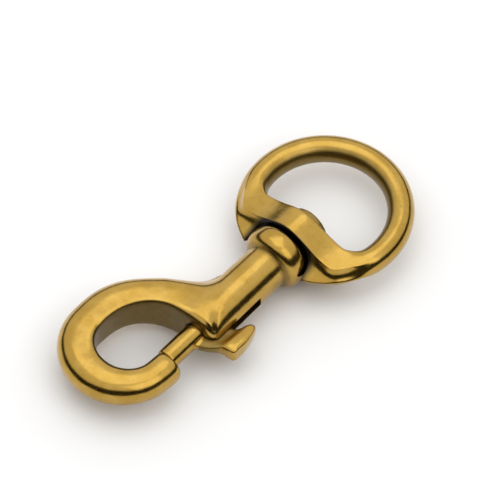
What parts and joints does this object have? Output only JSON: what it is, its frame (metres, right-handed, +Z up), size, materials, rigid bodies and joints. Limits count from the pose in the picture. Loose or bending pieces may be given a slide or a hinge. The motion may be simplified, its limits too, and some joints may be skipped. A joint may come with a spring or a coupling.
{
  "type": "swivel eye bolt snap",
  "caption": "Swivel-eye bolt snap: cast hook closed by a sprung sliding bolt with a thumb lever, turning on a riveted round eye with a bridge and hub.",
  "frame": {"origin": "centre of the round eye, on the swivel axis", "axes": "+X along the swivel axis from the hook towards the far side of the eye; +Y in the plane of the hook, towards the bulge of its bow; +Z up, square to the plane of the hook"},
  "size_m": [0.089, 0.0427, 0.0147],
  "materials": {
    "cast_brass": "polished casting",
    "eye_brass": "polished casting",
    "bolt_brass": "polished casting",
    "rivet_brass": "as peened",
    "spring_steel": "drawn wire"
  },
  "bodies": {
    "hook": {"hook_body": "cast_brass", "bolt_spring": "spring_steel"},
    "bolt": {"slide_bolt": "bolt_brass"},
    "eye": {"swivel_eye": "eye_brass", "swivel_rivet": "rivet_brass"}
  },
  "joints": [
    {"name": "eye_swivel", "type": "hinge", "parent": "hook", "child": "eye", "pos_m": [0, 0, 0], "axis": [1, 0, 0], "continuous": true},
    {"name": "bolt_slide", "type": "slide", "parent": "hook", "child": "bolt", "axis": [1, 0, 0], "range_m": [0, 0.009], "stiffness_N_per_m": 550, "springref_m": -0.0073, "deforming": ["bolt_spring"]}
  ]
}
